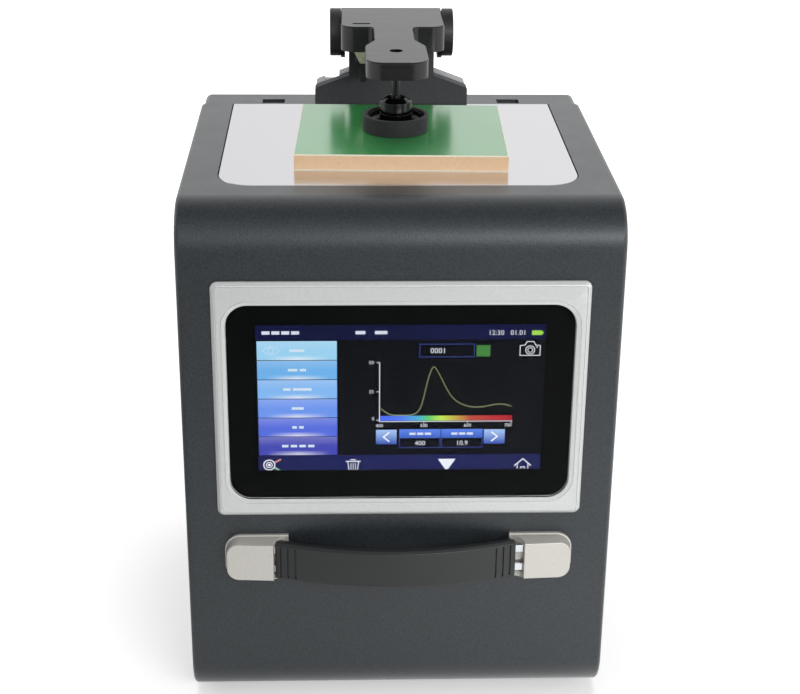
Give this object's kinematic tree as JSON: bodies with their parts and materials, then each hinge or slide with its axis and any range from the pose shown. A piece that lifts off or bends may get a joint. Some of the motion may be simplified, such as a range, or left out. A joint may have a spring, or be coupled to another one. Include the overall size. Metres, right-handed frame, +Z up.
{
  "type": "benchtop colorimeter",
  "caption": "Upright benchtop colorimeter: measuring port on top under a sprung clamp arm, touch display and carrying strap in front, sockets and switch behind.",
  "frame": {"origin": "on the plane that the base feet stand on, at the middle of the overall width and depth", "axes": "+Z up, -Y towards the front with its display and strap, +X to the right seen from the front"},
  "size_m": [0.236, 0.2536, 0.3598],
  "materials": {
    "powder_coat": "satin",
    "port_silver": "satin",
    "bezel_silver": "satin",
    "cap_silver": "satin",
    "touch_glass": "gloss",
    "display": "gloss",
    "strap_rubber": "matte",
    "spring_steel": "satin",
    "screw_steel": "satin",
    "clamp_black": "satin",
    "bracket_grey": "satin",
    "press_gloss": "gloss",
    "press_rubber": "matte",
    "lever_steel": "satin",
    "black_plastic": "matte",
    "bronze": "satin",
    "foot_rubber": "matte",
    "board_green": "gloss",
    "zinc_sheet": "satin",
    "black_aluminium": "matte",
    "lens_glass": "gloss",
    "grating_mirror": "polished",
    "circuit_green": "satin",
    "battery_blue": "gloss"
  },
  "bodies": {
    "housing": {"aperture_insert": "black_aluminium", "backing_plate": "zinc_sheet", "base_feet": "foot_rubber", "battery_pack": "battery_blue", "bracket_rear_plate": "bracket_grey", "bracket_screws": "screw_steel", "chassis_frame": "zinc_sheet", "chassis_screws": "screw_steel", "clamp_bracket": "clamp_black", "cover_screws": "screw_steel", "dc_jack": "black_plastic", "diffraction_grating": "grating_mirror", "display_frame": "zinc_sheet", "display_gasket": "foot_rubber", "display_panel": "display", "flash_lamp": "lens_glass", "handle_base_left": "cap_silver", "handle_base_right": "cap_silver", "handle_cap_left": "cap_silver", "handle_cap_right": "cap_silver", "handle_screws": "screw_steel", "hinge_bushes": "bronze", "lamp_reflector": "black_aluminium", "lens_barrel": "black_aluminium", "main_board": "circuit_green", "main_shell": "powder_coat", "measuring_lens": "lens_glass", "port_plate": "port_silver", "rear_cover": "powder_coat", "rear_feet": "foot_rubber", "sample_camera": "black_plastic", "screen_bezel": "bezel_silver", "sensor_board": "circuit_green", "serial_socket": "zinc_sheet", "socket_panel": "black_aluminium", "spectrometer_cover": "black_aluminium", "spectrometer_housing": "black_aluminium", "sphere_lower": "black_aluminium", "sphere_upper": "black_aluminium", "switch_frame": "black_plastic", "torsion_spring": "spring_steel", "touch_glass": "touch_glass", "usb_socket": "zinc_sheet"},
    "clamp": {"clamp_arm": "clamp_black", "hinge_pin": "screw_steel", "pin_cover_left": "black_plastic", "pin_cover_right": "black_plastic", "stop_lever": "lever_steel", "stop_bumper": "foot_rubber", "shaft_bush": "black_plastic", "press_shaft": "spring_steel", "press_spring": "spring_steel"},
    "foot_slider": {"spring_washer": "screw_steel"},
    "press_foot": {"press_cup": "press_gloss", "hub_cap": "press_gloss", "press_ring": "press_rubber"},
    "strap": {"handle_strap": "strap_rubber", "strap_band": "spring_steel"},
    "switch": {"switch_rocker": "black_plastic"},
    "sample": {"sample_board": "board_green"}
  },
  "joints": [
    {"name": "clamp_hinge", "type": "hinge", "parent": "housing", "child": "clamp", "pos_m": [0, 0.10825, 0.3453], "axis": [-1, 0, 0], "range_deg": [0, 90], "stiffness_Nm_per_rad": 0.5, "springref_deg": -28.65, "deforming": ["torsion_spring"]},
    {"name": "press_slide", "type": "slide", "parent": "clamp", "child": "foot_slider", "axis": [0, 0, 1], "range_m": [0, 0.003], "stiffness_N_per_m": 400, "springref_m": -0.005, "deforming": ["press_spring"]},
    {"name": "press_spin", "type": "hinge", "parent": "foot_slider", "child": "press_foot", "pos_m": [0, 0.00925, 0.3115], "axis": [0, 0, 1], "continuous": true},
    {"name": "strap_slide", "type": "slide", "parent": "housing", "child": "strap", "axis": [1, 0, 0], "range_m": [0, 0.0039]},
    {"name": "switch_rock", "type": "hinge", "parent": "housing", "child": "switch", "pos_m": [-0.042, 0.11575, 0.048], "axis": [-1, 0, 0], "range_deg": [0, 18]},
    {"name": "sample_slide", "type": "slide", "parent": "housing", "child": "sample", "axis": [0, -1, 0], "range_m": [0, 0.08]}
  ]
}
